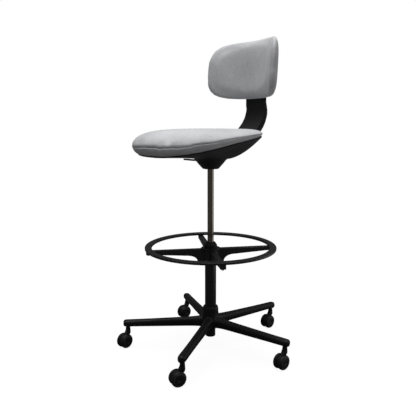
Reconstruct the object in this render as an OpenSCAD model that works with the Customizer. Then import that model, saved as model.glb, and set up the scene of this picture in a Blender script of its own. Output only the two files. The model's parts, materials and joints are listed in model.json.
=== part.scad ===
// Drafting chair: five-armed base on twin-wheel casters, gas lift with a foot ring,
// dished seat shell with an upholstered cushion, and a sprung arm that carries the
// backrest. Origin on the floor under the column, +Z up, the chair faces -Y.

/* [Base] */
// Distance from the column axis to each caster stem
stem_circle = 297; // [280:1:320]
// Width of one arm
arm_w = 26; // [24:1:28]
// Height of the underside of an arm at its tip
arm_tip_z = 73; // [70:1:76]
// Depth of an arm at its tip
arm_tip_h = 24; // [24:1:28]
// Depth of an arm at the hub
arm_root_h = 34; // [30:1:44]
// Diameter of the hub collar
hub_d = 56; // [50:1:62]
// Height of the top of the hub collar
hub_top_z = 151; // [140:1:165]

/* [Casters] */
// Diameter of a wheel
wheel_d = 50; // [46:1:52]
// Width of a caster over both wheels
caster_w = 38; // [34:1:42]
// Distance from the swivel axis back to the axle
trail = 17; // [12:1:20]
// Heading of each caster, rear arm first, turned from the front of the chair
caster_yaw = [8, 8, 14, -9, 7]; // [-180:1:180]

/* [Column] */
// Diameter of the outer column
column_d = 40; // [38:1:42]
// Height of the top of the outer column
column_top_z = 366; // [360:1:400]
// Diameter of the bright pressure tube
tube_d = 22; // [20:1:24]
// How far the seat comes down
lift_travel = 200; // [120:1:200]

/* [Foot ring] */
// Outer diameter of the ring
ring_d = 460; // [420:1:480]
// Width of the ring's band
ring_band = 24; // [18:1:28]
// Thickness of the ring's band
ring_t = 10; // [9:1:14]
// Width of a spoke
spoke_w = 19; // [14:1:22]
// Direction of the first spoke
spoke_turn = 63; // [0:1:89]

/* [Seat] */
// Width of the seat
seat_w = 440; // [420:1:460]
// Depth of the seat
seat_d = 436; // [420:1:450]
// Place of the middle of the seat along Y
seat_mid_y = -44; // [-50:1:-40]
// Height of the crown of the cushion
seat_top_z = 772; // [766:1:780]
// Height of the edge of the shell at the front
rim_front_z = 685; // [683:1:690]
// Height of the edge of the shell at the rear
rim_rear_z = 753; // [750:1:756]
// Height of the bottom of the cone under the seat
cone_z = 640; // [638:1:645]

/* [Backrest] */
// Length of the backrest along its curve
back_w = 394; // [370:1:400]
// Height of the top edge above the middle of the backrest's sides
back_rise = 112; // [104:1:118]
// Depth of the bottom edge below the middle of the backrest's sides
back_drop = 96; // [93:1:100]
// Radius of the backrest's curve, through the middle of its thickness
back_r = 218; // [210:1:240]
// Place of the middle of the backrest along Y
back_y = 199; // [198:1:200]
// Height of the middle of the backrest
back_mid_z = 973; // [972:1:976]
// How far the backrest leans to the rear
back_tilt = 3; // [2:0.5:4]
// Width of the arm that carries the backrest
strap_w = 100; // [80:1:100]
// How far the arm reclines
recline = 10; // [4:1:10]

/* [Hidden] */
FIT = 0.05;            // radial clearance of a moving fit
SNUG = 0.02;           // radial clearance of a fixed fit
FINE = 96;             // facets of a full circle
SEGS = 72;             // points round the outlines of the seat and the backrest
BLACK = [0.10, 0.10, 0.11];
CLOTH = [0.66, 0.67, 0.68];
STEEL = [0.62, 0.61, 0.60];
RUBBER = [0.05, 0.05, 0.05];

ARMS = 5;
column_z = 38;         // bottom of the column stub
column_r = column_d / 2;
stub_r = column_r - 2.5;
column_in_r = 16;
rod_r = 4;
bearing_z = column_z + 4;
bearing_h = 10;
tube_r = tube_d / 2;
tube_in_r = tube_r - 2;
tube_z = column_z + 52 + lift_travel;
tube_top_z = 690;
valve_r = 3;
valve_top_z = 700;

wheel_r = wheel_d / 2;
axle_r = 3;
hood_half = 4.5;
stem_r = 5.5;
journal_r = 4;

ring_top_z = column_top_z + 5;
ring_z = ring_top_z - ring_t;
ring_hub_z = column_top_z - 60;
ring_hub_top_z = column_top_z - 2;
spoke_end_r = ring_d / 2 - 4;

rear_taper = 0.10;     // narrowing of the seat outline toward the rear
cone_r = 56;           // radius where the cone meets the bowl of the shell
cone_top_z = 674;
shell_t = 3;
board_t = 5;
board_inset = 42;
board_front_y = -200;

plate_z = 690;
plate_t = 4;
pivot_y = 118;
pivot_z = 728;
pivot_r = 5;
barrel_r = 10;
cheek_x = 51;
cheek_t = 4;
boss_spots = [[50, -48], [-50, -48], [38, 50], [-38, 50]];

lever_x = -28;
lever_z = 707;
lever_reach = 159;
lever_drop_z = 664;
lever_t = 5;

blade_t = 10;
blade_y = 9.5;         // the blade lies behind the middle of the backrest
liner_t = 1.3;
sleeve_t = 2.5;
sleeve_low = -84;
sleeve_high = 40;
back_t = 30;
carrier_y = -1.2;
carrier_t = 3;

CASTER_PARTS = ["hood", "stem", "axle", "left_wheel", "right_wheel"];

// ---- helpers ----

function lerp(a, b, t) = a + (b - a) * t;

// Outline of a w by h rectangle, centred, with corners of radius r
function rounded_rect(w, h, r, steps = 6) =
    [for (q = [0:3]) for (i = [0:steps])
        let (a = 90 * q + 90 * i / steps,
             cx = (w / 2 - r) * ((q == 0 || q == 3) ? 1 : -1),
             cy = (h / 2 - r) * (q < 2 ? 1 : -1))
        [cx + r * cos(a), cy + r * sin(a)]];

module pipe(r_out, r_in, z0, z1) {
    translate([0, 0, z0]) difference() {
        cylinder(r = r_out, h = z1 - z0, $fn = FINE);
        translate([0, 0, -1]) cylinder(r = r_in, h = z1 - z0 + 2, $fn = FINE);
    }
}

// A solid of constant section, drawn in the Y-Z plane and centred on X
module across(width) {
    rotate([90, 0, 90]) linear_extrude(height = width, center = true) children();
}

// A cylinder along X through the point (y, z)
module rod_x(r, length, y, z) {
    translate([0, y, z]) rotate([0, 90, 0])
        cylinder(r = r, h = length, center = true, $fn = FINE);
}

// A cylinder along Y through the point (x, z)
module rod_y(r, length, x, z) {
    translate([x, 0, z]) rotate([90, 0, 0])
        cylinder(r = r, h = length, center = true, $fn = FINE);
}

// ---- base ----

module at_arm(k) rotate([0, 0, 90 + 360 / ARMS * (k - 1)]) children();

module star_arm() {
    tip_r = arm_w / 2 + 1;
    root_z = arm_tip_z + 3;
    intersection() {
        rotate([90, 0, 0]) linear_extrude(height = 2 * arm_w, center = true)
            polygon([[column_r + 2, root_z], [stem_circle + 30, arm_tip_z],
                [stem_circle + 30, arm_tip_z + arm_tip_h - 1],
                [column_r + 2, root_z + arm_root_h]]);
        union() {
            translate([column_r + 2, -arm_w / 2, arm_tip_z - 1])
                cube([stem_circle - column_r, arm_w, arm_root_h + 10]);
            translate([stem_circle + 5, 0, arm_tip_z - 1])
                cylinder(r = tip_r, h = arm_root_h + 10, $fn = FINE);
        }
    }
}

module hub() {
    r = hub_d / 2;
    low = arm_tip_z - 4;
    rotate_extrude($fn = FINE) polygon([
        [column_r + SNUG, low], [r - 2, low], [r, low + 4], [r, hub_top_z - 12],
        [r - 1, hub_top_z - 6], [r - 3, hub_top_z - 1.5], [r - 5, hub_top_z],
        [column_r + SNUG, hub_top_z]]);
}

module base_star() {
    color(BLACK) difference() {
        union() {
            hub();
            for (k = [1:ARMS]) at_arm(k) star_arm();
        }
        for (k = [1:ARMS]) at_arm(k) translate([stem_circle, 0, arm_tip_z - 2])
            cylinder(r = stem_r + SNUG, h = 22, $fn = FINE);
    }
}

// ---- casters ----

module at_caster(k) {
    at_arm(k) translate([stem_circle, 0, 0])
        rotate([0, 0, caster_yaw[k - 1] - 180 - 360 / ARMS * (k - 1)]) children();
}

module caster_hood(k) {
    neck_top = arm_tip_z - 7;
    color(BLACK) at_caster(k) difference() {
        union() {
            rod_y(wheel_r - 6, 2 * hood_half, trail, wheel_r);
            rotate([90, 0, 0]) linear_extrude(height = 2 * hood_half, center = true)
                polygon([[-5, neck_top - 6], [-5, neck_top - 14], [2, wheel_r + 2],
                    [trail, wheel_r + 8], [trail + 4, wheel_r + 17], [5, neck_top - 6]]);
            translate([0, 0, neck_top - 17]) cylinder(r = 7, h = 17, $fn = FINE);
        }
        translate([0, 0, neck_top - 15])
            cylinder(r = journal_r + FIT, h = 16, $fn = FINE);
        rod_y(axle_r + SNUG, 2 * hood_half + 2, trail, wheel_r);
    }
}

module caster_stem(k) {
    neck_top = arm_tip_z - 7;
    color(STEEL) at_caster(k) {
        translate([0, 0, neck_top - 14.5]) cylinder(r = journal_r, h = 15, $fn = FINE);
        translate([0, 0, neck_top + 0.3]) cylinder(r = 7.5, h = 6.5, $fn = FINE);
        translate([0, 0, neck_top + 6]) cylinder(r = stem_r, h = 20, $fn = FINE);
    }
}

module caster_axle(k) {
    color(STEEL) at_caster(k) rod_y(axle_r, caster_w - 5, trail, wheel_r);
}

module caster_wheel(k, side) {
    out = caster_w / 2;
    inn = hood_half + 0.6;
    r = wheel_r;
    color(BLACK) at_caster(k) translate([trail, 0, r])
        mirror([0, side < 0 ? 1 : 0, 0]) rotate([-90, 0, 0]) rotate_extrude($fn = FINE)
        polygon([[axle_r + FIT, inn], [r - 1.5, inn], [r, inn + 1.5], [r, out - 5],
            [r - 0.8, out - 2.6], [r - 2.6, out - 0.8], [r - 5, out], [r - 6.5, out - 0.8],
            [0, out - 0.8], [0, out - 2.2], [axle_r + FIT, out - 2.2]]);
}

// ---- gas lift ----

module column_tube() {
    color(BLACK) {
        pipe(column_r, column_in_r, 70, column_top_z);
        pipe(stub_r, column_in_r, bearing_z - 0.5, 70.5);
        pipe(stub_r, rod_r + FIT, column_z, bearing_z);
    }
}

module column_cap() {
    color(BLACK) rotate_extrude($fn = FINE) polygon([
        [tube_r + 0.4, column_top_z + 0.1], [23, column_top_z + 0.1], [23, column_top_z + 7],
        [21.5, column_top_z + 9], [17.5, column_top_z + 16], [16, column_top_z + 17.5],
        [tube_r + 0.4, column_top_z + 17.5]]);
}

module guide_bush() {
    color("ivory")
        pipe(column_in_r - SNUG, tube_r + FIT, column_top_z - 46, column_top_z - 0.2);
}

module thrust_bearing() {
    ball_r = 2;
    race = 8.5;
    mid = bearing_z + bearing_h / 2;
    color(STEEL) {
        pipe(12, rod_r + 0.4, bearing_z + 0.05, mid - 1.6);
        pipe(12, rod_r + 0.4, mid + 1.6, bearing_z + bearing_h);
        pipe(11.4, race - 1.2, mid - 1.2, mid + 1.2);
        for (a = [0:45:359]) rotate([0, 0, a]) translate([race, 0, mid])
            sphere(r = ball_r, $fn = 32);
    }
}

module piston_rod() {
    collar_z = bearing_z + bearing_h + 0.1;
    color(STEEL) {
        translate([0, 0, column_z - 5]) cylinder(r = rod_r, h = tube_z + 15 - column_z, $fn = FINE);
        translate([0, 0, collar_z]) cylinder(r = 7, h = 3, $fn = FINE);
    }
}

module rod_clip() {
    color(STEEL) pipe(8, rod_r + SNUG, column_z - 3, column_z - 1.5);
}

module rubber_buffer() {
    color(RUBBER) pipe(13, rod_r + 0.3, bearing_z + bearing_h + 3.3, bearing_z + bearing_h + 20);
}

module piston_head() {
    color(STEEL) translate([0, 0, tube_z + 10 + SNUG])
        cylinder(r = tube_in_r - FIT, h = 12, $fn = FINE);
}

module rod_guide() {
    color(RUBBER) pipe(tube_in_r - SNUG, rod_r + FIT, tube_z + 0.5, tube_z + 9);
}

module pressure_tube() {
    color(STEEL) {
        pipe(tube_r, tube_in_r, tube_z, tube_top_z - 9.5);
        pipe(tube_r, valve_r + FIT, tube_top_z - 10, tube_top_z);
    }
}

module valve_pin() {
    color(STEEL) translate([0, 0, tube_top_z - 14])
        cylinder(r = valve_r, h = valve_top_z - tube_top_z + 14, $fn = FINE);
}

// ---- seat ----

module taper_socket() {
    color(STEEL) pipe(17, tube_r + SNUG, cone_z + 8, plate_z + plate_t);
}

module mechanism_frame() {
    low = plate_z + plate_t;
    color(BLACK) difference() {
        union() {
            translate([-60, -60, plate_z]) cube([120, 130, plate_t]);
            for (s = [-1, 1]) translate([s * (cheek_x + cheek_t / 2), 0, 0])
                across(cheek_t) polygon([[20, plate_z + 1], [70, plate_z + 1], [100, plate_z + 12],
                    [128, 726], [130, 740], [108, 743], [60, low + 18], [20, low + 18]]);
            for (s = [-1, 1]) translate([lever_x - 7, s * 10.5 - 1.5, low - 1])
                cube([14, 3, lever_z - low + 8]);
        }
        translate([0, 0, plate_z - 1]) cylinder(r = 17 + SNUG, h = plate_t + 2, $fn = FINE);
        translate([lever_x - 16, -6, plate_z - 1]) cube([20, 12, plate_t + 2]);
        rod_x(pivot_r + SNUG, 2 * (cheek_x + cheek_t) + 2, pivot_y, pivot_z);
        rod_y(2 + SNUG, 30, lever_x, lever_z);
        for (p = boss_spots) translate([p[0], p[1], plate_z - 1])
            cylinder(r = 2.6, h = plate_t + 2, $fn = 32);
    }
}

// Height of the edge of the shell, which rises in a quarter wave from front to rear
function rim_z(y) =
    let (t = (y - seat_mid_y) / seat_d + 0.5)
    rim_front_z + (rim_rear_z - rim_front_z) * sin(90 * min(1, max(0, t)));

// Point of the seat outline at angle a, squarer at the front and rounder at the rear
function seat_edge(a, inset) =
    let (n = 2.25 - 0.25 * sin(a),
         half_w = (seat_w / 2 - inset) * (1 - rear_taper * (1 + sin(a)) / 2),
         half_d = seat_d / 2 - inset)
    [half_w * sign(cos(a)) * pow(abs(cos(a)), 2 / n),
     seat_mid_y + half_d * sign(sin(a)) * pow(abs(sin(a)), 2 / n)];

// Triangles that join ring i to ring j, each of SEGS points
function stitch(i, j) =
    [for (k = [0:SEGS - 1]) let (m = (k + 1) % SEGS, a = i * SEGS, b = j * SEGS)
        each [[a + k, b + m, b + k], [a + k, a + m, b + m]]];

// How far the foot of the cushion's side is drawn in, most at the front
function tuck(a) = 9 - 6 * sin(a);

// Point of the shell's bowl, s = 0 at the cone and 1 at the rim
function bowl_point(a, s, lift) =
    let (e = seat_edge(a, 13.5 - 10 * sin(a)),
         p = lerp([cone_r * cos(a), cone_r * sin(a)], e, s),
         z = lerp(cone_top_z, rim_z(e[1]) - shell_t - 0.5, pow(s, 1.2 + 0.65 * sin(a))))
    [p[0], p[1], z + lift];

function ring_of(r, z) = [for (k = [0:SEGS - 1]) [r * cos(360 * k / SEGS), r * sin(360 * k / SEGS), z]];

function bowl_ring(s, lift) = [for (k = [0:SEGS - 1]) bowl_point(360 * k / SEGS, s, lift)];

module shell_solid() {
    steps = 8;
    rings = concat(
        [ring_of(tube_r + 2, cone_z), ring_of(26.5, cone_z), ring_of(29, cone_z + 1.5),
            ring_of(49, cone_z + 25)],
        [for (i = [0:steps]) bowl_ring(i / steps, 0)],
        [for (i = [steps:-1:0]) bowl_ring(i / steps, shell_t)],
        [ring_of(46, cone_z + 27), ring_of(26.5, cone_z + 4.5), ring_of(tube_r + 2, cone_z + 3)]);
    count = len(rings);
    polyhedron(points = [for (r = rings) each r],
        faces = [for (i = [0:count - 1]) each stitch(i, (i + 1) % count)]);
}

module seat_shell() {
    color(BLACK) difference() {
        shell_solid();
        translate([-64, -5, cone_z + 19]) cube([30, 10, 14]);
        strap_sweep();
    }
}

module seat_board() {
    board_steps = 24;
    rear_y = seat_mid_y + seat_d / 2;
    ys = [for (i = [0:board_steps]) lerp(board_front_y, rear_y, i / board_steps)];
    color("burlywood") difference() {
        union() {
            intersection() {
                across(seat_w) polygon(concat([for (y = ys) [y, rim_z(y) - 0.6]],
                    [for (i = [board_steps:-1:0]) [ys[i], rim_z(ys[i]) - 0.6 - board_t]]));
                translate([0, 0, rim_front_z]) linear_extrude(height = 80)
                    polygon([for (k = [0:SEGS - 1]) seat_edge(360 * k / SEGS, board_inset)]);
            }
            for (p = boss_spots) translate([p[0], p[1], plate_z + plate_t + SNUG])
                cylinder(r = 7, h = rim_z(p[1]) - 4 - plate_z - plate_t, $fn = 48);
        }
        for (p = boss_spots) translate([p[0], p[1], plate_z])
            cylinder(r = 2 + SNUG, h = 26, $fn = 32);
        strap_sweep();
    }
}

// Height of the seam between the cushion's side band and its top panel
function seam_z(y) =
    let (t = (y - seat_mid_y) / seat_d + 0.5) rim_z(y) + lerp(27, 4, min(1, max(0, t)));

// Ring of the cushion's underside, f = 0 at the middle and 1 at the edge
function under_ring(f) =
    [for (k = [0:SEGS - 1])
        let (a = 360 * k / SEGS, e = seat_edge(a, tuck(a)), y = lerp(seat_mid_y, e[1], f))
        [e[0] * f, y, rim_z(y) + 0.3]];

// Ring of the cushion's side band, share = 0 at its foot and 1 at the seam
function band_ring(share) =
    [for (k = [0:SEGS - 1])
        let (a = 360 * k / SEGS, e = seat_edge(a, tuck(a) * pow(1 - share, 1.8)))
        [e[0], e[1], lerp(rim_z(e[1]) + 0.3, seam_z(e[1]), share)]];

// Ring of the cushion's crowned top
function crown_ring(f) =
    [for (k = [0:SEGS - 1])
        let (e = seat_edge(360 * k / SEGS, 0.5), z = seam_z(e[1]))
        [e[0] * f, lerp(seat_mid_y, e[1], f), z + (seat_top_z - z) * sqrt(1 - pow(f, 3.3))]];

module seat_cushion() {
    rings = concat(
        [for (f = [0.2, 0.5, 0.8, 1]) under_ring(f)],
        [for (share = [0.25, 0.6, 0.9]) band_ring(share)],
        [for (f = [0.995, 0.98, 0.96, 0.93, 0.89, 0.83, 0.75, 0.6, 0.4, 0.15]) crown_ring(f)]);
    last = len(rings) - 1;
    color(CLOTH) difference() {
        polyhedron(points = [for (r = rings) each r],
            faces = concat([for (i = [0:last - 1]) each stitch(i, i + 1)],
                [[for (k = [0:SEGS - 1]) k]],
                [[for (k = [SEGS - 1:-1:0]) last * SEGS + k]]));
        strap_sweep();
        translate([-strap_w / 2 - 2, 150, rim_rear_z - 20]) cube([strap_w + 4, 60, 60]);
    }
}

module seat_screws() {
    color(STEEL) for (p = boss_spots) translate([p[0], p[1], 0]) {
        translate([0, 0, plate_z - 3]) cylinder(r = 4.5, h = 2.9, $fn = 32);
        translate([0, 0, plate_z - 1]) cylinder(r = 2, h = 24, $fn = 32);
    }
}

module gas_lever() {
    low = lever_drop_z - lever_t / 2;
    color(BLACK) difference() {
        union() {
            rod_y(4.5, 17, lever_x, lever_z);
            translate([lever_x, -4, valve_top_z + 0.2]) cube([-lever_x + 4, 8, 4.8]);
            translate([lever_x - 5, -3, low]) cube([5, 6, lever_z - low]);
            translate([-110, -3, low]) cube([110 + lever_x - 4, 6, lever_t]);
            translate([-lever_reach + 8, -8, low]) cube([60, 16, lever_t]);
            translate([-lever_reach + 8.5, 0, low]) cylinder(r = 8.5, h = lever_t, $fn = 48);
        }
        rod_y(2 + FIT, 20, lever_x, lever_z);
    }
}

module lever_pin() {
    color(STEEL) rod_y(2, 26, lever_x, lever_z);
}

// ---- back ----

// Middle line of the arm in the Y-Z plane with its half thickness, from pivot to tip
function to_blade(y, z) =
    [back_y + y * cos(back_tilt) + z * sin(back_tilt),
     back_mid_z + z * cos(back_tilt) - y * sin(back_tilt)];
blade_low = to_blade(blade_y, -100);
blade_mid = to_blade(blade_y, -80);
blade_top = to_blade(blade_y, 25);
strap_line = [
    [pivot_y - 12, pivot_z - 7, 9.5], [pivot_y, pivot_z, 9.5], [148, 750, 11.5],
    [170, 767, 11.5], [190.5, 790.5, 10.5], [203, 816, 9], [207.4, 836, 7.6],
    [206.2, 853, 6.2], [blade_low[0], blade_low[1], blade_t / 2],
    [blade_mid[0], blade_mid[1], blade_t / 2], [blade_top[0], blade_top[1], blade_t / 2]];
BLADE_END = len(strap_line) - 1;

function spline(a, b, c, d, t) =
    ((-a + 3 * b - 3 * c + d) * pow(t, 3) + (2 * a - 5 * b + 4 * c - d) * pow(t, 2)
        + (c - a) * t + 2 * b) / 2;

// Outline of the strap between two of its points, grown all round
function strap_outline(last, grow) =
    let (n = 5,
         fine = [for (i = [1:last - 1]) for (j = [0:n - 1])
                spline(strap_line[i - 1], strap_line[i], strap_line[i + 1],
                    strap_line[i + 2], j / n)],
         mid = concat(fine, [for (i = [last:BLADE_END]) if (i == last || last > 5) strap_line[i]]),
         m = len(mid) - 1,
         side = [for (i = [0:m])
                let (u = mid[min(m, i + 1)] - mid[max(0, i - 1)], w = norm([u[0], u[1]]))
                [-u[1] / w, u[0] / w]])
    concat([for (i = [0:m]) [mid[i][0], mid[i][1]] + side[i] * (mid[i][2] + grow)],
        [for (i = [m:-1:0]) [mid[i][0], mid[i][1]] - side[i] * (mid[i][2] + grow)]);

module about_pivot(angle) {
    translate([0, pivot_y, pivot_z]) rotate([-angle, 0, 0])
        translate([0, -pivot_y, -pivot_z]) children();
}

// Space that the strap and its barrel pass through as the arm reclines
module strap_sweep() {
    for (angle = [0, recline / 2, recline]) about_pivot(angle)
        across(strap_w + 3) polygon(strap_outline(5, 1.5));
    rod_x(barrel_r + 1.5, strap_w + 3, pivot_y, pivot_z);
}

module back_arm() {
    color(BLACK) difference() {
        union() {
            across(strap_w) polygon(strap_outline(BLADE_END - 1, 0));
            rod_x(barrel_r, strap_w, pivot_y, pivot_z);
        }
        rod_x(pivot_r + 1.5 + SNUG, strap_w + 2, pivot_y, pivot_z);
    }
}

module arm_bushes() {
    color("ivory") for (s = [-1, 1]) translate([s * (strap_w / 2 - 8), 0, 0]) difference() {
        rod_x(pivot_r + 1.5, 16, pivot_y, pivot_z);
        rod_x(pivot_r + FIT, 18, pivot_y, pivot_z);
    }
}

module back_pivot_bar() {
    color(STEEL) rod_x(pivot_r, 2 * (cheek_x + cheek_t) + 2, pivot_y, pivot_z);
}

module in_back() {
    translate([0, back_y, back_mid_z]) rotate([-back_tilt, 0, 0]) children();
}

// Outline of the backrest drawn in by inset, seen from the front
function back_outline(inset) =
    [for (k = [0:SEGS - 1])
        let (a = 360 * k / SEGS,
             u = (back_w / 2 - inset) * sign(cos(a)) * pow(abs(cos(a)), 2 / 3.83),
             z = a < 180 ? (back_rise - inset) * pow(sin(a), 2 / 2.76)
                : -(back_drop - inset) * pow(-sin(a), 2 / 3.95))
        [back_r * sin(u / back_r * 180 / PI), z]];

// Curved slab of the backrest from y0 to y1, drawn in by inset
module back_slab(y0, y1, inset) {
    intersection() {
        translate([0, -back_r, 0]) pipe(back_r + y1, back_r + y0, -back_drop, back_rise);
        translate([0, -50, 0]) rotate([90, 0, 0]) linear_extrude(height = 160, center = true)
            polygon(back_outline(inset));
    }
}

// Box round the blade, grown by g on every side but its ends
module blade_box(g, low, high) {
    translate([-strap_w / 2 - g, blade_y - blade_t / 2 - g, low])
        cube([strap_w + 2 * g, blade_t + 2 * g, high - low]);
}

module back_carrier() {
    walls = liner_t + SNUG + sleeve_t;
    color(BLACK) in_back() difference() {
        union() {
            back_slab(carrier_y, carrier_y + carrier_t, 20);
            blade_box(walls, sleeve_low, sleeve_high);
            translate([-30, 0.5, sleeve_low]) cube([60, 7, sleeve_high - sleeve_low]);
        }
        blade_box(liner_t + SNUG, sleeve_low - 1, sleeve_high + 1);
    }
}

module sleeve_liner() {
    color("ivory") in_back() difference() {
        blade_box(liner_t, sleeve_low, sleeve_high);
        blade_box(FIT, sleeve_low - 1, sleeve_high + 1);
    }
}

module back_front_pad() {
    color(CLOTH) in_back() back_slab(-back_t / 2, carrier_y - 0.3, 0.1);
}

module back_rear_pad() {
    half = strap_w / 2 + liner_t + sleeve_t + 0.4;
    color(CLOTH) in_back() difference() {
        back_slab(carrier_y + carrier_t + 0.3, back_t / 2, 0.1);
        translate([-half, carrier_y - 6, -back_drop - 2])
            cube([2 * half, 40, back_drop + sleeve_high + 3]);
    }
}

// ---- foot ring ----

module ring_rim() {
    mid = ring_d / 2 - ring_band / 2;
    color(BLACK) difference() {
        translate([0, 0, ring_z + ring_t / 2]) rotate_extrude($fn = FINE)
            translate([mid, 0]) polygon(rounded_rect(ring_band, ring_t, 4.5, 3));
        for (k = [0:3]) rotate([0, 0, spoke_turn + 90 * k])
            translate([mid, 0, ring_z - 1]) cylinder(r = 2 + SNUG, h = 8, $fn = 32);
    }
}

module ring_spoke() {
    gusset_r = 46;
    rise = 33;
    steps = 6;
    foot = ring_z - 15;
    rotate([90, 0, 0]) linear_extrude(height = spoke_w, center = true)
        polygon(concat(
            [[column_r + 3, ring_hub_z + 2], [gusset_r - 6, ring_hub_z + 3]],
            [for (i = [0:steps]) let (a = 90 * i / steps)
                [gusset_r + rise * (1 - cos(a)) * 1.1, ring_hub_z + 8 + 24 * sin(a)]],
            [[spoke_end_r - 24, foot], [spoke_end_r, foot], [spoke_end_r, ring_z - SNUG],
                [column_r + 3, ring_z - SNUG]]));
}

module ring_spider() {
    mid = ring_d / 2 - ring_band / 2;
    color(BLACK) difference() {
        union() {
            translate([0, 0, ring_hub_z]) cylinder(r = 27, h = ring_hub_top_z - ring_hub_z - 3, $fn = FINE);
            translate([0, 0, ring_hub_top_z - 6]) cylinder(r = 33, h = 6, $fn = FINE);
            for (k = [0:3]) rotate([0, 0, spoke_turn + 90 * k]) ring_spoke();
        }
        translate([0, 0, ring_hub_z - 1]) cylinder(r = column_r + FIT, h = 70, $fn = FINE);
        for (k = [0:3]) rotate([0, 0, spoke_turn + 90 * k])
            translate([mid, 0, ring_z - 20]) cylinder(r = 2.4, h = 30, $fn = 32);
        for (a = [0, 180]) rotate([0, 0, spoke_turn + 45 + a])
            translate([column_r - 2, 0, ring_hub_z + 12]) rotate([0, 90, 0])
                cylinder(r = 3 + SNUG, h = 12, $fn = 32);
    }
}

module ring_screws() {
    mid = ring_d / 2 - ring_band / 2;
    foot = ring_z - 15;
    color(STEEL) for (k = [0:3]) rotate([0, 0, spoke_turn + 90 * k]) translate([mid, 0, 0]) {
        translate([0, 0, foot - 2.9]) cylinder(r = 4, h = 2.8, $fn = 32);
        translate([0, 0, foot - 1]) cylinder(r = 2, h = 21, $fn = 32);
    }
}

module ring_grub_screws() {
    color(STEEL) for (a = [0, 180]) rotate([0, 0, spoke_turn + 45 + a])
        translate([column_r + FIT, 0, ring_hub_z + 12]) rotate([0, 90, 0])
            cylinder(r = 3, h = 6.5, $fn = 32);
}

// ---- nodes ----

base_star();
column_tube();
column_cap();
guide_bush();
thrust_bearing();
piston_rod();
piston_head();
rubber_buffer();
rod_clip();
pressure_tube();
rod_guide();
valve_pin();
taper_socket();
mechanism_frame();
seat_board();
seat_shell();
seat_cushion();
seat_screws();
gas_lever();
lever_pin();
back_pivot_bar();
back_arm();
arm_bushes();
back_carrier();
sleeve_liner();
back_front_pad();
back_rear_pad();
ring_rim();
ring_spider();
ring_screws();
ring_grub_screws();
for (k = [1:ARMS]) {
    caster_hood(k);
    caster_stem(k);
    caster_axle(k);
    caster_wheel(k, -1);
    caster_wheel(k, 1);
}
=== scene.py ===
import json
import math

import bpy
from mathutils import Matrix, Vector, noise
from mathutils.kdtree import KDTree


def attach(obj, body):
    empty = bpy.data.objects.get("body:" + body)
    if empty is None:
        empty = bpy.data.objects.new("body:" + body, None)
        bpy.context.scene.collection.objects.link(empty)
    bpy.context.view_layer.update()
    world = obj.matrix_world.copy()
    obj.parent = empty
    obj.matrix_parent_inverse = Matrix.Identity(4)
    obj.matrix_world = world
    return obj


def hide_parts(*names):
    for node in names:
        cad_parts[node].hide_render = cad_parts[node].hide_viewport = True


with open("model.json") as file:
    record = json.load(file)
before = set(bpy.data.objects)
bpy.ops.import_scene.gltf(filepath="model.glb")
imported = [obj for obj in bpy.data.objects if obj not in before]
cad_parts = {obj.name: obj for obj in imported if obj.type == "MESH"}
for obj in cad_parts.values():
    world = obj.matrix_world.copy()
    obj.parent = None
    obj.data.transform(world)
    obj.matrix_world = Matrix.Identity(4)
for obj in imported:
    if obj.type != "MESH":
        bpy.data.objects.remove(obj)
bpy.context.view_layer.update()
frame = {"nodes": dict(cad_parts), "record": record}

MM = 0.001

# Dimensions that part.scad gives, in millimetres and degrees
SEAT_W, SEAT_D, SEAT_MID_Y, SEAT_TOP_Z = 440.0, 436.0, -44.0, 772.0
RIM_FRONT_Z, RIM_REAR_Z = 685.0, 753.0
CONE_Z, CONE_R, CONE_TOP_Z = 640.0, 56.0, 674.0
TUBE_R = 11.0
BACK_R, BACK_Y, BACK_MID_Z, BACK_TILT = 218.0, 199.0, 973.0, 3.0
BACK_HALF_ARC, BACK_RISE, BACK_DROP = 197.0, 112.0, 96.0
WHEEL_R, CASTER_W, TRAIL = 25.0, 38.0, 17.0
ARMS = 5
STEM_CIRCLE = 297.0
CASTER_YAW = [8, 8, 14, -9, 7]
ARM_TIP_Z, ARM_TIP_H, ARM_ROOT_H, ARM_FALL = 73.0, 24.0, 34.0, 3.0
ARM_START_X, ARM_END_X = 22.0, STEM_CIRCLE + 30
HUB_LOW_Z, HUB_TOP_Z, HUB_BORE_R = 69.0, 151.0, 20.1
RING_R, RING_BAND, RING_T, RING_TOP_Z = 230.0, 24.0, 10.0, 371.0

# Points round the long outlines, and the rings of points that the seams follow
SEAT_STEPS, SEAT_CREASE = 288, 15
BACK_STEPS, BACK_CREASE = 320, 17


# ---------------------------------------------------------------- helpers

def lerp(a, b, t):
    return a + (b - a) * t


def smoothstep(a, b, t):
    x = min(1.0, max(0.0, (t - a) / (b - a)))
    return x * x * (3 - 2 * x)


def rad(a):
    return math.radians(a)


def wave(x, y, z, seed=0.0):
    """Smooth noise from -1 to 1."""
    return noise.noise(Vector((x, y, z + 17.3 * seed)))


def new_piece(name, verts, faces, look, body, nodes=()):
    """A mesh piece from points in millimetres."""
    mesh = bpy.data.meshes.new(name)
    mesh.from_pydata([(v[0] * MM, v[1] * MM, v[2] * MM) for v in verts], [], faces)
    mesh.validate()
    mesh.update()
    piece = bpy.data.objects.new(name, mesh)
    bpy.context.scene.collection.objects.link(piece)
    mesh.materials.append(look)
    mesh.polygons.foreach_set("use_smooth", [True] * len(mesh.polygons))
    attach(piece, body)
    if nodes:
        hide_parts(*nodes)
    return piece


def loft(rings, caps=True, loop=False):
    """Points and faces of closed rings of equal length, joined in turn."""
    n = len(rings[0])
    count = len(rings)
    verts = [p for ring in rings for p in ring]
    faces = []
    for i in range(count if loop else count - 1):
        a = i * n
        b = (i + 1) % count * n
        for k in range(n):
            m = (k + 1) % n
            faces.append((a + k, a + m, b + m, b + k))
    if caps and not loop:
        faces.append(tuple(range(n - 1, -1, -1)))
        faces.append(tuple((count - 1) * n + k for k in range(n)))
    return verts, faces


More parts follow.
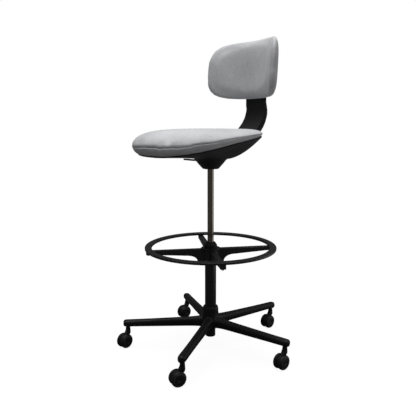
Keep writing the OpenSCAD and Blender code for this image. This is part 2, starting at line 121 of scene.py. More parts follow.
def circle_points(r, z, count):
    """A circle of radius r about Z, at height z."""
    turns = [2 * math.pi * k / count for k in range(count)]
    return [(r * math.cos(t), r * math.sin(t), z) for t in turns]


def lathe(profile, segments=96):
    """Rings about Z from (radius, height) pairs."""
    return [circle_points(r, z, segments) for r, z in profile]


def placed(points, matrix):
    """The points, moved by the matrix."""
    return [tuple(matrix @ Vector(p)) for p in points]


# ---------------------------------------------------------------- materials

def material(name, colour, rough, metal=0.0, sheen=0.0, spec=0.5):
    """A plain Principled material, to which the look is then added."""
    mat = bpy.data.materials.new(name)
    mat.use_nodes = True
    bsdf = mat.node_tree.nodes["Principled BSDF"]
    bsdf.inputs["Base Color"].default_value = (*colour, 1)
    bsdf.inputs["Roughness"].default_value = rough
    bsdf.inputs["Metallic"].default_value = metal
    bsdf.inputs["Specular IOR Level"].default_value = spec
    if sheen:
        bsdf.inputs["Sheen Weight"].default_value = sheen
        bsdf.inputs["Sheen Roughness"].default_value = 0.5
    return mat, bsdf


def noise_node(tree, scale, detail, coords, rough=0.5):
    tex = tree.nodes.new("ShaderNodeTexNoise")
    tex.inputs["Scale"].default_value = scale
    tex.inputs["Detail"].default_value = detail
    tex.inputs["Roughness"].default_value = rough
    tree.links.new(coords, tex.inputs["Vector"])
    return tex.outputs["Fac"]


def ramp(tree, fac, low, high, c0, c1):
    node = tree.nodes.new("ShaderNodeValToRGB")
    node.color_ramp.elements[0].position = low
    node.color_ramp.elements[1].position = high
    node.color_ramp.elements[0].color = (*c0, 1)
    node.color_ramp.elements[1].color = (*c1, 1)
    tree.links.new(fac, node.inputs["Fac"])
    return node.outputs["Color"]


def remap(tree, fac, low, high, out_low, out_high):
    node = tree.nodes.new("ShaderNodeMapRange")
    node.inputs["From Min"].default_value = low
    node.inputs["From Max"].default_value = high
    node.inputs["To Min"].default_value = out_low
    node.inputs["To Max"].default_value = out_high
    tree.links.new(fac, node.inputs["Value"])
    return node.outputs["Result"]


def maths(tree, operation, a, b):
    """A math node that joins the socket a to b, which is a socket or a number."""
    node = tree.nodes.new("ShaderNodeMath")
    node.operation = operation
    tree.links.new(a, node.inputs[0])
    if isinstance(b, float):
        node.inputs[1].default_value = b
    else:
        tree.links.new(b, node.inputs[1])
    return node.outputs["Value"]


def bump(tree, bsdf, height, distance, strength=1.0, before=None):
    node = tree.nodes.new("ShaderNodeBump")
    node.inputs["Distance"].default_value = distance
    node.inputs["Strength"].default_value = strength
    tree.links.new(height, node.inputs["Height"])
    if before is not None:
        tree.links.new(before, node.inputs["Normal"])
    tree.links.new(node.outputs["Normal"], bsdf.inputs["Normal"])
    return node.outputs["Normal"]


def object_coords(tree):
    """Coordinates that move with the piece."""
    return tree.nodes.new("ShaderNodeTexCoord").outputs["Object"]


def stretched(tree, coords, scale):
    node = tree.nodes.new("ShaderNodeMapping")
    node.inputs["Scale"].default_value = scale
    tree.links.new(coords, node.inputs["Vector"])
    return node.outputs["Vector"]


def scaled_colour(c, f):
    return tuple(min(1.0, v * f) for v in c)


def plastic(name, colour, rough, grain=1400.0, depth=0.00006, spec=0.25):
    """Moulded or powder-coated black: fine grain, faint mottling, and a painted highlight on sharp edges.
    """
    mat, bsdf = material(name, colour, rough, spec=spec)
    tree = mat.node_tree
    coords = object_coords(tree)
    broad = noise_node(tree, 24, 4, coords=coords)
    fine = noise_node(tree, grain, 2, coords=coords)
    edge = tree.nodes.new("ShaderNodeNewGeometry").outputs["Pointiness"]
    # Sharp edges, found by pointiness, are lightened in colour: a painted highlight
    edge_highlight = remap(tree, edge, 0.53, 0.66, 0.0, 0.35)
    base = ramp(tree, broad, 0.3, 0.7, scaled_colour(colour, 0.82), scaled_colour(colour, 1.2))
    mix = tree.nodes.new("ShaderNodeMix")
    mix.data_type = "RGBA"
    tree.links.new(edge_highlight, mix.inputs["Factor"])
    colour_a, colour_b = [socket for socket in mix.inputs if socket.type == "RGBA"]
    mixed_colour = [socket for socket in mix.outputs if socket.type == "RGBA"][0]
    tree.links.new(base, colour_a)
    # The colour 2.6 times as light as the base is the painted highlight on sharp edges
    colour_b.default_value = (*scaled_colour(colour, 2.6), 1)
    tree.links.new(mixed_colour, bsdf.inputs["Base Color"])
    tree.links.new(remap(tree, broad, 0.3, 0.7, rough - 0.06, rough + 0.07), bsdf.inputs["Roughness"])
    bump(tree, bsdf, fine, depth)
    return mat


def steel(name, colour, rough, brushed=(1, 1, 40)):
    """Metal with fine drawn lines."""
    mat, bsdf = material(name, colour, rough, metal=1.0)
    tree = mat.node_tree
    coords = object_coords(tree)
    lines = noise_node(tree, 30, 3, coords=stretched(tree, coords, brushed))
    broad = noise_node(tree, 18, 3, coords=coords)
    tint = ramp(tree, broad, 0.3, 0.7, scaled_colour(colour, 0.9), scaled_colour(colour, 1.08))
    tree.links.new(tint, bsdf.inputs["Base Color"])
    tree.links.new(remap(tree, lines, 0.3, 0.7, rough - 0.05, rough + 0.07), bsdf.inputs["Roughness"])
    bump(tree, bsdf, lines, 0.000006)
    return mat


def fabric(name, colour, thread=0.0011, contrast=0.34):
    """Plain weave: crossed sets of threads, flecked yarn and faint shading of the cloth."""
    mat, bsdf = material(name, colour, 0.92, sheen=0.12, spec=0.2)
    tree = mat.node_tree
    coords = object_coords(tree)
    wobble = tree.nodes.new("ShaderNodeTexNoise")
    wobble.inputs["Scale"].default_value = 60
    tree.links.new(coords, wobble.inputs["Vector"])
    strayed = tree.nodes.new("ShaderNodeVectorMath")
    strayed.operation = "MULTIPLY_ADD"
    tree.links.new(wobble.outputs["Color"], strayed.inputs[0])
    strayed.inputs[1].default_value = (0.004, 0.004, 0.004)
    tree.links.new(coords, strayed.inputs[2])
    sets = []
    for direction in ("X", "Y", "Z"):
        tex = tree.nodes.new("ShaderNodeTexWave")
        tex.wave_type = "BANDS"
        tex.bands_direction = direction
        tex.inputs["Scale"].default_value = math.pi / 10 / thread
        tree.links.new(strayed.outputs["Vector"], tex.inputs["Vector"])
        sets.append(tex.outputs["Fac"])
    along_x, along_y, along_z = sets
    crossings = [maths(tree, "MULTIPLY", a, b)
                 for a, b in ((along_x, along_z), (along_y, along_z), (along_x, along_y))]
    weave = maths(tree, "MAXIMUM", crossings[0], crossings[1])
    weave = maths(tree, "MAXIMUM", weave, crossings[2])
    fleck = noise_node(tree, 230, 4, rough=0.7, coords=coords)
    broad = noise_node(tree, 9, 3, coords=coords)
    yarn = maths(tree, "MULTIPLY", fleck, 0.55)
    mixed = maths(tree, "ADD", yarn, maths(tree, "MULTIPLY", weave, 0.12))
    mixed = maths(tree, "ADD", mixed, maths(tree, "MULTIPLY", broad, 0.35))
    dark = scaled_colour(colour, 1 - contrast)
    light = scaled_colour(colour, 1 + contrast)
    tree.links.new(ramp(tree, mixed, 0.3, 0.8, dark, light), bsdf.inputs["Base Color"])
    tree.links.new(remap(tree, fleck, 0.3, 0.7, 0.86, 0.98), bsdf.inputs["Roughness"])
    nap = bump(tree, bsdf, weave, 0.00018, 0.35)
    bump(tree, bsdf, fleck, 0.0004, 0.6, before=nap)
    return mat


MOULDED = plastic("moulded_black", (0.0048, 0.0049, 0.0056), 0.46)
PAINTED = plastic("powder_black", (0.0078, 0.0078, 0.0086), 0.42, grain=900, depth=0.00008, spec=0.4)
SHELL = plastic("shell_black", (0.016, 0.0162, 0.0172), 0.52)
STRAP = plastic("arm_black", (0.0105, 0.0105, 0.0113), 0.6, spec=0.12)
TREAD = plastic("tread_black", (0.0062, 0.0062, 0.0068), 0.5, grain=700)
# Pale grey for the ring in the groove of each wheel face: a painted highlight along the rim
PAINTED_RIM_HIGHLIGHT = plastic("painted_rim_highlight_grey", (0.075, 0.075, 0.078), 0.40)
RUBBER = plastic("rubber_black", (0.012, 0.012, 0.012), 0.8, grain=600, spec=0.3)
BUSH = plastic("bush_ivory", (0.55, 0.52, 0.45), 0.5)
BEECH = plastic("beech_board", (0.42, 0.27, 0.14), 0.6, grain=300)
TUBE = steel("tube_chrome", (0.24, 0.212, 0.175), 0.16, brushed=(40, 40, 1))
ZINC = steel("zinc", (0.52, 0.52, 0.53), 0.38)
SEAT_CLOTH = fabric("seat_cloth", (0.50, 0.505, 0.52))
BACK_CLOTH = fabric("back_cloth", (0.47, 0.475, 0.485))
THREAD = fabric("seam_thread", (0.22, 0.223, 0.23), thread=0.0006, contrast=0.25)

SLOT_MATERIALS = {
    "base_black": MOULDED, "painted_black": PAINTED, "tube_metal": TUBE, "steel": ZINC,
    "shell_black": SHELL, "seat_fabric": SEAT_CLOTH, "back_fabric": BACK_CLOTH,
    "wheel_black": TREAD, "rubber": RUBBER, "bush_plastic": BUSH, "board": BEECH}

# Each CAD node takes the material of its slot
for part in frame["record"]["subparts"]:
    node = frame["nodes"][part["node"]]
    look = SLOT_MATERIALS[part["material_slot"]]
    if part["node"] == "back_arm":
        look = STRAP
    elif part["node"].endswith("_stem"):
        look = MOULDED
    node.data.materials.clear()
    node.data.materials.append(look)


# ---------------------------------------------------------------- soft goods

CLOTH_FRAMES, CLOTH_NEIGHBOURS = 20, 6


def relaxed(piece, voxel, cap):
    """Blows a copy up gently as cloth, and moves the points of the piece as the cloth moved.

    The voxel size and the cap on each move are in metres.
    """
    scene = bpy.context.scene
    ghost = piece.copy()
    ghost.data = piece.data.copy()
    scene.collection.objects.link(ghost)
    remesh = ghost.modifiers.new("remesh", "REMESH")
    remesh.mode = "VOXEL"
    remesh.voxel_size = voxel
    depsgraph = bpy.context.evaluated_depsgraph_get()
    start = bpy.data.meshes.new_from_object(ghost.evaluated_get(depsgraph))
    ghost.modifiers.clear()
    ghost.data = start
    cloth = ghost.modifiers.new("cloth", "CLOTH")
    cloth.settings.quality = 4
    cloth.settings.use_pressure = True
    cloth.settings.uniform_pressure_force = 4.0
    cloth.settings.tension_stiffness = 15
    cloth.settings.compression_stiffness = 15
    cloth.settings.bending_stiffness = 2
    cloth.settings.effector_weights.gravity = 0
    for f in range(1, CLOTH_FRAMES + 1):
        scene.frame_set(f)
    depsgraph = bpy.context.evaluated_depsgraph_get()
    end = ghost.evaluated_get(depsgraph).data
    tree = KDTree(len(start.vertices))
    moves = []
    for i, v in enumerate(start.vertices):
        tree.insert(v.co, i)
        move = end.vertices[i].co - v.co
        moves.append(move * min(1.0, cap / max(move.length, 1e-9)))     # 1e-9 guards a still point
    tree.balance()
    for v in piece.data.vertices:
        total, weight = Vector(), 0.0
        for _, i, dist in tree.find_n(v.co, CLOTH_NEIGHBOURS):
            w = 1 / (dist + voxel * 0.3)
            total += moves[i] * w
            weight += w
        v.co += total / weight
    scene.frame_set(1)
    bpy.data.objects.remove(ghost)
    piece.data.update()


# Seat: the same outline as the CAD seat. The parameter a turns anticlockwise from the sitter's left,
# so that sin(a) is 1 at the rear and -1 at the front

REAR_TAPER = 0.10
BAND_FRONT_H, BAND_REAR_H = 27, 4
NOTCH_Y, NOTCH_OUTER_Y = 149.0, 190.0
NOTCH_X, NOTCH_OUTER_X = 54, 68
CUSHION_LIFT = 0.3


def seat_share(y):
    """Place along the depth of the seat: 0 at the front, 1 at the rear."""
    return min(1, max(0, (y - SEAT_MID_Y) / SEAT_D + 0.5))


def rim_z(y):
    """Height of the edge of the shell."""
    return RIM_FRONT_Z + (RIM_REAR_Z - RIM_FRONT_Z) * math.sin(rad(90 * seat_share(y)))


def signed_power(v, n):
    """Power of the size of v, with the sign of v."""
    return math.copysign(abs(v) ** n, v)


def seat_edge(a, inset):
    """Point of the outline, drawn in by inset."""
    rearward = math.sin(a)
    power = 2 / (2.25 - 0.25 * rearward)
    half_w = (SEAT_W / 2 - inset) * (1 - REAR_TAPER * (1 + rearward) / 2)
    half_d = SEAT_D / 2 - inset
    return (half_w * signed_power(math.cos(a), power), SEAT_MID_Y + half_d * signed_power(rearward, power))


def tuck(a):
    """How far the lower edge of the cushion is drawn in."""
    return 9 - 6 * math.sin(a)


def seam_z(y):
    """Height of the seam between the side band and the top panel."""
    return rim_z(y) + lerp(BAND_FRONT_H, BAND_REAR_H, seat_share(y))


def seat_angles():
    """Parameters of the points round the seat."""
    return [2 * math.pi * k / SEAT_STEPS for k in range(SEAT_STEPS)]


def notched(x, y):
    """Keeps the rear of the cushion clear of the arm."""
    limit = lerp(NOTCH_Y, NOTCH_OUTER_Y, smoothstep(NOTCH_X, NOTCH_OUTER_X, abs(x)))
    return (x, min(y, limit))


def fade(a):
    """The seam is slack and gathered along the front, and drawn flat toward the rear."""
    return smoothstep(0.25, -0.7, math.sin(a))


def rear_pull(a):
    """The cover is drawn in a little at the rear."""
    return 1.2 * smoothstep(0.2, 0.9, math.sin(a))


def crown(a):
    """How square the crown is: fuller toward the rear."""
    return lerp(3.3, 6.0, smoothstep(0.0, 0.9, math.sin(a)))


def seam_drift(a):
    """The seam wanders a little up and down along the front."""
    return (5.0 * wave(a * 3.1, 2.0, 0, 11) + 2.6 * wave(a * 9.0, 5.0, 0, 12)) * fade(a)


def pucker(a, seed):
    """Gathers along the seam: broad ones, and finer ones between them."""
    broad = wave(math.cos(a) * 9, math.sin(a) * 9, 0, seed)
    fine = wave(a * 36, 0.3, 0, seed)
    return broad * 0.7 + fine * 0.5


def cushion_underside(share):
    """A ring of the underside, at a share of the way from the middle to the edge."""
    ring = []
    for a in seat_angles():
        x, y = seat_edge(a, tuck(a) + 1.5)
        y = lerp(SEAT_MID_Y, y, share)
        ring.append((*notched(x * share, y), rim_z(y) + CUSHION_LIFT))
    return ring


def cushion_band(share):
    """A ring of the side band, at a share of the way up to the seam."""
    ring = []
    for a in seat_angles():
        bulge = 1.2 * math.sin(math.pi * share ** 0.8)
        gather = 1.3 * pucker(a, 1) * share ** 3 * fade(a)
        x, y = seat_edge(a, 1.0 + rear_pull(a) + tuck(a) * (1 - share) ** 1.4 - bulge - gather)
        edge_y = seat_edge(a, 0)[1]
        ring.append((*notched(x, y), lerp(rim_z(y) + CUSHION_LIFT, seam_z(edge_y) + seam_drift(a), share)))
    return ring


def cushion_crease(inset, lift):
    """A ring of the stitched crease, deeper along the front."""
    ring = []
    for a in seat_angles():
        x, y = seat_edge(a, 0.6 + rear_pull(a) + (inset - 0.6) * (0.25 + 0.75 * fade(a)))
        edge_y = seat_edge(a, 0)[1]
        ring.append((*notched(x, y), seam_z(edge_y) + seam_drift(a) + lift))
    return ring


def cushion_top(d):
    """A ring of the top panel, about d in from the seam."""
    f = 1 - d / (SEAT_D / 2)
    ring = []
    for a in seat_angles():
        x, y = seat_edge(a, 0.8 + rear_pull(a))
        z0 = seam_z(y) + 1.0 + seam_drift(a) * math.exp(-d / 15)
        gather = 2.0 * pucker(a, 2) * math.exp(-d / 12) * (1 - math.exp(-d / 2.5)) * fade(a)
        soft = 0.9 * wave(x * f / 55, y * f / 55, 0, 3)
        z = z0 + (SEAT_TOP_Z - z0) * math.sqrt(1 - f ** crown(a)) + gather + soft * (1 - f ** 4)
        ring.append((*notched(x * f, lerp(SEAT_MID_Y, y, f)), z))
    return ring


def seat_cushion():
    """The cover of the cushion, from the underside out, up the band and over the top, and its seam."""
    rings = [cushion_underside(share) for share in (0.25, 0.55, 0.8, 0.92, 0.98, 1.0)]
    rings += [cushion_band(share) for share in (0.08, 0.2, 0.35, 0.5, 0.65, 0.78, 0.88, 0.95)]
    rings += [cushion_crease(inset, lift) for inset, lift in ((1.6, 0.0), (3.8, 0.6), (2.0, 1.3))]
    top_insets = (1.5, 3, 5, 8, 12, 17, 23, 30, 38, 48, 60, 75, 92, 112, 135, 160, 185, 205)
    rings += [cushion_top(d) for d in top_insets]
    verts, faces = loft(rings)
    piece = new_piece("seat_cushion_cover", verts, faces, SEAT_CLOTH, "seat",
                      ["seat_cushion"])
    relaxed(piece, 0.006, 0.004)
    crease = ring_points(piece, SEAT_CREASE, SEAT_STEPS)
    closed_tube("seat_seam", crease, 0.6, THREAD, "seat")


def closed_tube(name, points, radius, look, body, sides=8):
    """A thin round tube along a closed run of points in millimetres."""
    rings = []
    for i, p in enumerate(points):
        along = (Vector(points[(i + 1) % len(points)]) - Vector(points[i - 1])).normalized()
        side = along.cross(Vector((0, 0, 1)))
        side = side.normalized() if side.length > 1e-6 else Vector((1, 0, 0))     # a run straight up
        up = side.cross(along).normalized()
        turns = [2 * math.pi * j / sides for j in range(sides)]
        rings.append([tuple(Vector(p) + (side * math.cos(t) + up * math.sin(t)) * radius) for t in turns])
    verts, faces = loft(rings, loop=True)
    new_piece(name, verts, faces, look, body)


def ring_points(piece, ring, count):
    """The points of one ring of a lofted piece, in millimetres."""
    return [tuple(v.co / MM) for v in piece.data.vertices[ring * count:(ring + 1) * count]]


def shell_bowl(s, lift, out=0.0):
    """A ring of the bowl, at a share s of the way from the cone to the rim."""
    ring = []
    for a in seat_angles():
        rearward = math.sin(a)
        pull = 7.5 if rearward > 0 else 10
        edge = seat_edge(a, 13.5 - pull * rearward - out)
        x = lerp(CONE_R * math.cos(a), edge[0], s)
        y = lerp(CONE_R * rearward, edge[1], s)
        z = lerp(CONE_TOP_Z, rim_z(edge[1]) - 3.5, s ** (1.2 + 0.65 * rearward))
        ring.append((x, y, z + lift))
    return ring


def seat_shell():
    """The dished shell, outside face first, with the cone round the top of the lift."""
    shell_t, steps = 3, 26
    shares = [0.01 + 0.98 * i / steps for i in range(steps + 1)]
    outside = [(TUBE_R + 2, 0), (25.5, 0), (27.5, 0.6), (29, 2.2), (39, 13), (48.5, 24.5), (51, 28)]
    inside = [(46, 27), (26.5, 4.5), (TUBE_R + 2, 3)]
    rings = [circle_points(r, CONE_Z + rise, SEAT_STEPS) for r, rise in outside]
    rings += [shell_bowl(share, 0) for share in shares]
    rings += [shell_bowl(0.998, 0.3, 0.4), shell_bowl(1.0, 1.4, 0.9), shell_bowl(0.998, 2.6, 0.4)]
    rings += [shell_bowl(share, shell_t) for share in reversed(shares)]
    rings += [circle_points(r, CONE_Z + rise, SEAT_STEPS) for r, rise in inside]
    verts, faces = loft(rings, loop=True)
    new_piece("seat_shell_skin", verts, faces, SHELL, "seat", ["seat_shell"])


# ---------------------------------------------------------------- backrest

IN_BACK = Matrix.Translation((0, BACK_Y, BACK_MID_Z)) @ Matrix.Rotation(rad(-BACK_TILT), 4, "X")
FRONT_PAD, REAR_PAD = 19, 15


def wrapped(u, depth, z):
    """Point of the backrest: u along its curve, depth to the rear of its middle."""
    a = u / BACK_R
    r = BACK_R + depth
    return IN_BACK @ Vector((r * math.sin(a), r * math.cos(a) - BACK_R, z))


def back_edge(t, inset):
    """Point of the outline, as length along the curve and height, drawn in by inset."""
    rise = math.sin(t)
    if rise > 0:
        z = (BACK_RISE - inset) * rise ** (2 / 2.76)
    else:
        z = -(BACK_DROP - min(inset, 0.86 * inset + 0.4)) * (-rise) ** (2 / 3.95)
    return ((BACK_HALF_ARC - inset) * signed_power(math.cos(t), 2 / 3.83), z)


def back_angles():
    """Parameters that space points evenly round the outline, starting at one end."""
    fine = 4000
    points = [back_edge(2 * math.pi * i / fine, 0) for i in range(fine + 1)]
    run = [0.0]
    for p, q in zip(points, points[1:]):
        run.append(run[-1] + math.hypot(q[0] - p[0], q[1] - p[1]))
    angles = []
    i = 0
    for k in range(BACK_STEPS):
        target = run[-1] * k / BACK_STEPS
        while run[i + 1] < target:
            i += 1
        share = (target - run[i]) / (run[i + 1] - run[i])
        angles.append(2 * math.pi * (i + share) / fine)
    return angles


def dome(inset, thick):
    """How far a face stands out from the middle, at an inset from the edge."""
    return thick * math.sqrt(1 - (1 - min(inset, 100) / 100) ** 5)


def back_plan():
    """Inset, depth and zone of each ring, from the middle of the front round to the rear."""
    front = (107, 98, 88, 76, 65, 55, 46, 38, 31, 25, 20, 16, 12.5, 9.5, 7.2, 5.4)
    rear = (8, 12, 17, 23, 31, 41, 54, 70, 88, 107)
    plan = [(d, -dome(d, FRONT_PAD), "front") for d in front]
    plan += [(d, -dome(sunk, FRONT_PAD), "seam") for d, sunk in ((4.6, 4.2), (4.9, 3.6), (3.6, 3.0))]
    plan += [(d, -dome(d, FRONT_PAD), "band") for d in (2.0, 1.2, 0.5, 0.1)]
    plan.append((0.0, 0.0, "band"))
    plan += [(d, dome(d, REAR_PAD), "band") for d in (0.1, 0.5, 1.2, 2.2, 3.6, 5.4)]
    plan += [(d, dome(d, REAR_PAD), "rear") for d in rear]
    return plan


def back_ring(inset, depth, zone, angles):
    """A ring of the cover, with gathers along the seam and folds toward the two ends."""
    ring = []
    for k, t in enumerate(angles):
        u, z = back_edge(t, inset)
        ends = smoothstep(95, 185, abs(u))
        crease = math.exp(-abs(inset - 3) / 12.0) * (0 if zone == "seam" else 1)
        along = wave(k * 0.42, 0.0, 0.0, 5) * 0.8 + wave(k * 0.13, 3.0, 0.0, 6)
        gather = (0.35 + 1.5 * ends) * along * crease
        folds = 1.5 * ends * wave(u / 11.0, z / 38.0, 0, 7)
        broad = 0.8 * wave(u / 60, z / 45, 0, 8)
        ring_depth = depth
        if zone == "front":
            ring_depth -= gather * 0.8 + folds * smoothstep(3, 16, inset) + broad * smoothstep(4, 24, inset)
        elif zone == "rear":
            ring_depth += 0.5 * broad
        grow = 1 + (gather * 0.5 / 150 if zone == "band" else 0)
        ring.append(tuple(wrapped(u * grow, ring_depth, z * grow)))
    return ring


def strip_cap(base, n, flip):
    """Closes a long ring of n points with strips from side to side."""
    faces = []
    for k in range(n // 2):
        corners = [base + k, base + k + 1, base + (n - k - 1) % n, base + (n - k) % n]
        corners = list(dict.fromkeys(corners))
        faces.append(tuple(corners if flip else corners[::-1]))
    return faces


def back_pad():
    """The cover of the backrest, front and rear in one, and its seam."""
    angles = back_angles()
    verts, faces = loft([back_ring(*row, angles) for row in back_plan()], caps=False)
    faces += strip_cap(0, BACK_STEPS, False)
    faces += strip_cap(len(verts) - BACK_STEPS, BACK_STEPS, True)
    piece = new_piece("backrest_cover", verts, faces, BACK_CLOTH, "backrest",
                      ["back_front_pad", "back_rear_pad"])
    relaxed(piece, 0.005, 0.003)
    crease = ring_points(piece, BACK_CREASE, BACK_STEPS)
    closed_tube("backrest_seam", crease, 0.5, THREAD, "backrest")


# ---------------------------------------------------------------- moulded pieces

def bevelled(node, width):
    """Rounds the sharp edges of a CAD node."""
    weld = node.modifiers.new("weld", "WELD")
    weld.merge_threshold = 0.00002
    rounding = node.modifiers.new("round", "BEVEL")
    rounding.width = width * MM
    rounding.segments = 3
    rounding.limit_method = "ANGLE"
    rounding.angle_limit = rad(35)


def finish_moulded(piece, look, body, voxel, passes, nodes):
    """Remeshes the piece and smooths it, so that its edges and inside corners are round."""
    remesh = piece.modifiers.new("remesh", "REMESH")
    remesh.mode = "VOXEL"
    remesh.voxel_size = voxel * MM
    smooth = piece.modifiers.new("smooth", "SMOOTH")
    smooth.factor = 0.5
    smooth.iterations = passes
    depsgraph = bpy.context.evaluated_depsgraph_get()
    result = bpy.data.meshes.new_from_object(piece.evaluated_get(depsgraph))
    piece.modifiers.clear()
    piece.data = result
    result.materials.clear()
    result.materials.append(look)
    result.polygons.foreach_set("use_smooth", [True] * len(result.polygons))
    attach(piece, body)
    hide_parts(*nodes)


def softened(name, node, look, body, voxel, passes):
    """A moulded copy of a CAD node: its edges rounded and its inside corners filleted."""
    source = frame["nodes"][node]
    mesh = source.data.copy()
    piece = bpy.data.objects.new(name, mesh)
    bpy.context.scene.collection.objects.link(piece)
    mesh.transform(source.matrix_world)
    finish_moulded(piece, look, body, voxel, passes, [node])


def merged(name, parts, look, body, voxel, passes, nodes):
    """One moulded piece from closed shapes that overlap, each given as rings and whether they loop."""
    verts = []
    faces = []
    for rings, is_loop in parts:
        part_verts, part_faces = loft(rings, loop=is_loop)
        faces += [tuple(i + len(verts) for i in face) for face in part_faces]
        verts += part_verts
    mesh = bpy.data.meshes.new(name)
    mesh.from_pydata([(v[0] * MM, v[1] * MM, v[2] * MM) for v in verts], [], faces)
    piece = bpy.data.objects.new(name, mesh)
    bpy.context.scene.collection.objects.link(piece)
    finish_moulded(piece, look, body, voxel, passes, nodes)


# ---------------------------------------------------------------- base and ring

def squircle(w, h, power, count):
    """Points round a rounded section w wide and h high, centred."""
    turns = [2 * math.pi * k / count for k in range(count)]
    return [(w / 2 * signed_power(math.cos(t), 2 / power), h / 2 * signed_power(math.sin(t), 2 / power))
            for t in turns]


# Distance from the column axis, width and height of each section of an arm
ARM_SECTIONS = [
    (23, 38, 42), (30, 36, 40), (42, 32, 36.5), (60, 29, 34), (90, 27.5, 32), (140, 26.5, 30),
    (200, 26, 27.5), (250, 26.5, 25.5), (280, 27.5, 24.5), (295, 28, 24), (303, 27, 24),
    (308, 24, 23), (311.5, 18, 20), (313, 9, 14)]


def arm_middle_z(x):
    """Height of the middle of an arm, at a distance x from the column axis."""
    t = min(1, max(0, (x - ARM_START_X) / (ARM_END_X - ARM_START_X)))
    low = lerp(ARM_TIP_Z + ARM_FALL, ARM_TIP_Z, t)
    high = lerp(low + ARM_ROOT_H, ARM_TIP_Z + ARM_TIP_H, t)
    return (low + high) / 2


def star_arm(k):
    """One arm, from inside the wall of the hub to its rounded tip."""
    turn = Matrix.Rotation(rad(90 + 360 / ARMS * k), 4, "Z")
    rings = []
    for x, w, h in ARM_SECTIONS:
        section = [(x, y, arm_middle_z(x) + z) for y, z in squircle(w, h, 2.7, 40)]
        rings.append(placed(section, turn))
    return rings, False


def star_base():
    """The hub, flared where the arms leave it, and five arms."""
    hub = [(HUB_BORE_R, HUB_LOW_Z), (24, HUB_LOW_Z), (27, 70.5), (28.5, 73), (33, 80), (34, 92), (32, 106),
           (29.5, 118), (28.2, 130), (28, 139), (27.6, 144), (26.4, 148), (24.5, 150.4),
           (22.5, HUB_TOP_Z), (HUB_BORE_R, HUB_TOP_Z)]
    parts = [star_arm(k) for k in range(ARMS)]
    parts.append((lathe(hub), True))
    merged("star_base", parts, MOULDED, "base", 1.8, 9, ["base_star"])


def foot_ring_band():
    """The ring: a flat band with rounded edges."""
    middle_r = RING_R - RING_BAND / 2
    middle_z = RING_TOP_Z - RING_T / 2
    section = [(middle_r + y, middle_z + z) for y, z in squircle(RING_BAND, RING_T, 4.2, 48)]
    verts, faces = loft(lathe(section, 256), loop=True)
    new_piece("foot_ring_band", verts, faces, PAINTED, "foot_ring", ["ring_rim"])


# ---------------------------------------------------------------- casters

def caster_frame(k):
    """Place and heading of a caster, with its stem at the origin and its wheels toward +X."""
    a = rad(90 + 360 / ARMS * k)
    spot = Matrix.Translation((STEM_CIRCLE * math.cos(a), STEM_CIRCLE * math.sin(a), 0))
    return spot @ Matrix.Rotation(rad(CASTER_YAW[k] - 90), 4, "Z")


def drum_outline():
    """Half section of a wheel: radius, and distance from the middle of the caster."""
    out, inn, r = CASTER_W / 2, 5.1, WHEEL_R
    bore = 3.05
    tread = [(bore, inn), (r - 2.2, inn), (r - 0.9, inn + 0.5), (r - 0.2, inn + 1.5), (r, inn + 3),
             (r, out - 8), (r - 0.4, out - 5.8), (r - 1.5, out - 3.6), (r - 3.2, out - 1.9)]
    groove = [(r - 5.0, out - 1.0), (r - 5.6, out - 1.0), (r - 5.9, out - 1.7), (r - 6.9, out - 1.7)]
    face = [(r - 7.2, out - 0.9), (r - 9, out - 0.5), (r - 14, out - 0.1), (6.0, out), (5.4, out - 0.5),
            (0.05, out - 0.5), (0.05, out - 2.4), (bore, out - 2.4)]
    return tread + groove + face


def painted_rim_highlight_outline():
    """Round section of the pale grey ring that lies in the groove of a wheel: a painted highlight along the
    rim of the wheel face.
    """
    section_r = 0.55
    turns = [2 * math.pi * j / 10 for j in range(10)]
    return [(WHEEL_R - 6.4 + section_r * math.cos(t), CASTER_W / 2 - 1.15 + section_r * math.sin(t))
            for t in turns]


def caster_wheels(k):
    """Twin drum wheels with rounded shoulders, and on each outer face a pale grey ring in the groove that
    is a painted highlight along the rim.
    """
    base = caster_frame(k) @ Matrix.Translation((TRAIL, 0, WHEEL_R))
    for side, name in ((-1, "left"), (1, "right")):
        turn = base @ Matrix.Rotation(rad(-90 * side), 4, "X")
        body = f"caster{k + 1}_{name}"
        # The pale grey ring in each groove is a painted highlight along the rim of the wheel face
        for what, outline, look, nodes in (("drum", drum_outline(), TREAD, [body + "_wheel"]),
                                           ("painted_rim_highlight", painted_rim_highlight_outline(), PAINTED_RIM_HIGHLIGHT, [])):
            rings = [placed(ring, turn) for ring in lathe(outline)]
            verts, faces = loft(rings, loop=True)
            new_piece(f"{body}_{what}", verts, faces, look, body, nodes)


# Height, half length, half width and forward lean of each section of a hood's cone
HOOD_SECTIONS = [
    (40, 13, 4, 5), (46, 13.5, 6.5, 4.5), (49.5, 13, 9.5, 3.5), (53, 11.5, 10, 2.2),
    (58, 9.6, 9.2, 0.9), (63, 8.6, 8.6, 0.2), (68, 8.2, 8.2, 0), (71.4, 8.2, 8.2, 0)]


def caster_hood(k):
    """The hood between the wheels and the cone that rises from it to the arm."""
    place = caster_frame(k)
    axle = place @ Matrix.Translation((TRAIL, 0, WHEEL_R)) @ Matrix.Rotation(rad(90), 4, "X")
    half, r = 4.5, WHEEL_R - 1.2
    plate = [(0.05, -half), (r - 1.2, -half), (r, -half + 1.4), (r, half - 1.4), (r - 1.2, half),
             (0.05, half)]
    disc = [placed(ring, axle) for ring in lathe(plate, 64)]
    turns = [2 * math.pi * j / 48 for j in range(48)]
    cone = [placed([(lean + rx * math.cos(t), ry * math.sin(t), z) for t in turns], place)
            for z, rx, ry, lean in HOOD_SECTIONS]
    name = f"caster{k + 1}"
    merged(name + "_hood_skin", [(disc, False), (cone, False)], MOULDED, name, 1.1, 4,
           [name + "_hood"])


# ---------------------------------------------------------------- the chair

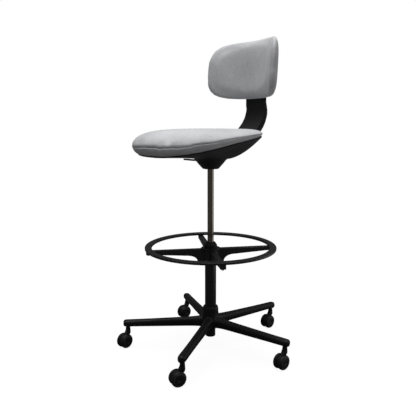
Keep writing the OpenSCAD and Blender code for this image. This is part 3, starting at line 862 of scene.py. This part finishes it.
seat_cushion()
seat_shell()
back_pad()
for index in range(ARMS):
    caster_wheels(index)
    caster_hood(index)
star_base()
foot_ring_band()
softened("foot_ring_spider", "ring_spider", PAINTED, "foot_ring", 1.5, 7)
softened("back_strap", "back_arm", STRAP, "arm", 2.0, 5)
softened("back_housing", "back_carrier", SHELL, "backrest", 1.3, 2)
softened("height_lever", "gas_lever", SHELL, "lever", 0.8, 3)
for node_name in ("column_cap", "column_tube"):
    bevelled(frame["nodes"][node_name], 0.8)
# The CAD nodes left in sight: round faces shade smooth, and their edges stay crisp
for node in frame["nodes"].values():
    node.data.polygons.foreach_set("use_smooth", [True] * len(node.data.polygons))
    edge_split = node.modifiers.new("edges", "EDGE_SPLIT")
    edge_split.split_angle = rad(32)


# ---------------------------------------------------------------- stage, light and camera

FLOOR_R, FLOOR_CORNERS = 1.7, 128
LENS, SENSOR = 43.92, 36.0
EYE = (1.3854, -1.0504, 0.7902)
LOOK_DOWN, LOOK_TURN = 9.36, 53.13


def area_light(name, place, aim, size, power):
    """A rectangular light in metres and watts, which the camera doesn't see."""
    data = bpy.data.lights.new(name, "AREA")
    data.shape = "RECTANGLE"
    data.size, data.size_y = size
    data.energy = power
    lamp = bpy.data.objects.new(name, data)
    bpy.context.scene.collection.objects.link(lamp)
    lamp.location = place
    lamp.visible_camera = False
    lamp.rotation_euler = (Vector(aim) - Vector(place)).to_track_quat("-Z", "Y").to_euler()


def for_camera(tree, others, camera):
    """A value that is one number for camera rays and another for all other rays."""
    seen = tree.nodes.new("ShaderNodeLightPath").outputs["Is Camera Ray"]
    return remap(tree, seen, 0, 1, others, camera)


def floor_material():
    """Dark to the chair and pale to the camera, so that the floor adds no glow from below."""
    mat, bsdf = material("studio_floor", (0.93, 0.93, 0.93), 0.85, spec=0.1)
    tree = mat.node_tree
    speck = noise_node(tree, 3.0, 2, coords=object_coords(tree))
    tint = ramp(tree, speck, 0.3, 0.7, (0.11, 0.11, 0.11), (0.12, 0.12, 0.12))
    tree.links.new(tint, bsdf.inputs["Base Color"])
    bsdf.inputs["Emission Color"].default_value = (1, 1, 1, 1)
    tree.links.new(for_camera(tree, 0.0, 0.93), bsdf.inputs["Emission Strength"])
    return mat


def stage():
    """The floor, the world and the lights."""
    mesh = bpy.data.meshes.new("studio_floor")
    corners = circle_points(FLOOR_R, 0, FLOOR_CORNERS)
    mesh.from_pydata(corners, [], [tuple(range(FLOOR_CORNERS))])
    mesh.materials.append(floor_material())
    floor = bpy.data.objects.new("studio_floor", mesh)
    bpy.context.scene.collection.objects.link(floor)
    world = bpy.data.worlds.new("studio")
    world.use_nodes = True
    background = world.node_tree.nodes["Background"]
    background.inputs["Color"].default_value = (1, 1, 1, 1)
    world.node_tree.links.new(for_camera(world.node_tree, 0.12, 1.0), background.inputs["Strength"])
    bpy.context.scene.world = world
    area_light("top", (-0.1, -0.2, 3.2), (0, 0, 0.6), (2.4, 2.4), 94)
    area_light("key", (0.4, -2.8, 2.1), (0, 0, 0.8), (1.6, 1.2), 7)
    area_light("side", (0.70, 1.10, 0.42), (0, 0, 0.42), (1.3, 0.84), 3.4)
    area_light("fill", (2.5, -0.1, 2.1), (0, 0, 0.8), (1.0, 1.0), 7)
    bpy.context.scene.view_settings.view_transform = "Standard"


def camera():
    """The camera that the photograph was solved to."""
    data = bpy.data.cameras.new("camera")
    data.lens = LENS
    data.sensor_width = SENSOR
    data.clip_end = 60
    eye = bpy.data.objects.new("camera", data)
    bpy.context.scene.collection.objects.link(eye)
    eye.location = EYE
    eye.rotation_euler = (rad(90 - LOOK_DOWN), 0, rad(LOOK_TURN))
    bpy.context.scene.camera = eye


stage()
camera()
